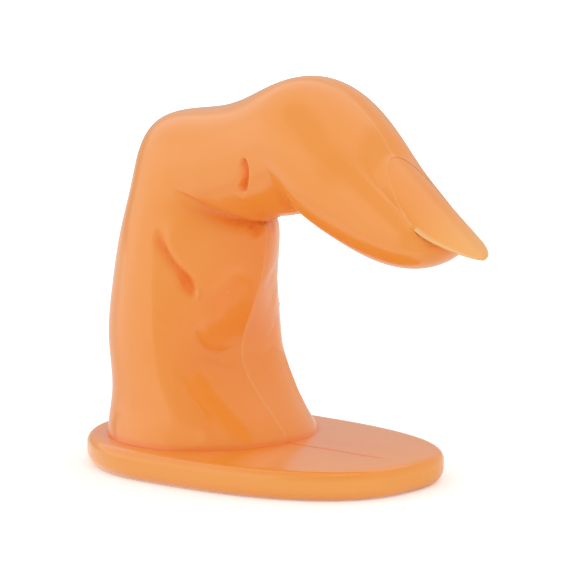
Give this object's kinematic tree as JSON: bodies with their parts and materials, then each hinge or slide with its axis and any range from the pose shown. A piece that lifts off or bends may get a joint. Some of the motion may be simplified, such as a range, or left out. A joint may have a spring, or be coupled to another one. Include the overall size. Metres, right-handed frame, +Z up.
{
  "type": "nail practice finger",
  "caption": "Bent life-size practice finger on an oval foot, with a pull-out nail tip in a slot under the cuticle, for training manicure work.",
  "frame": {"origin": "on the floor, on the middle plane of the finger, half way from the back edge of the foot to the point of the nail", "axes": "+X the way the finger points, +Y to the finger's left, +Z up"},
  "size_m": [0.0791, 0.0456, 0.0665],
  "materials": {
    "peach_plastic": "smooth, softly glossy moulded plastic",
    "nail_plastic": "smooth, slightly milky plastic"
  },
  "bodies": {
    "finger": {"left_half_shell": "peach_plastic", "right_half_shell": "peach_plastic"},
    "nail": {"nail_tip": "nail_plastic"}
  },
  "joints": [
    {"name": "nail_pull", "type": "slide", "parent": "finger", "child": "nail", "axis": [0.7804, 0, -0.6253], "range_m": [0, 0.0045]}
  ]
}
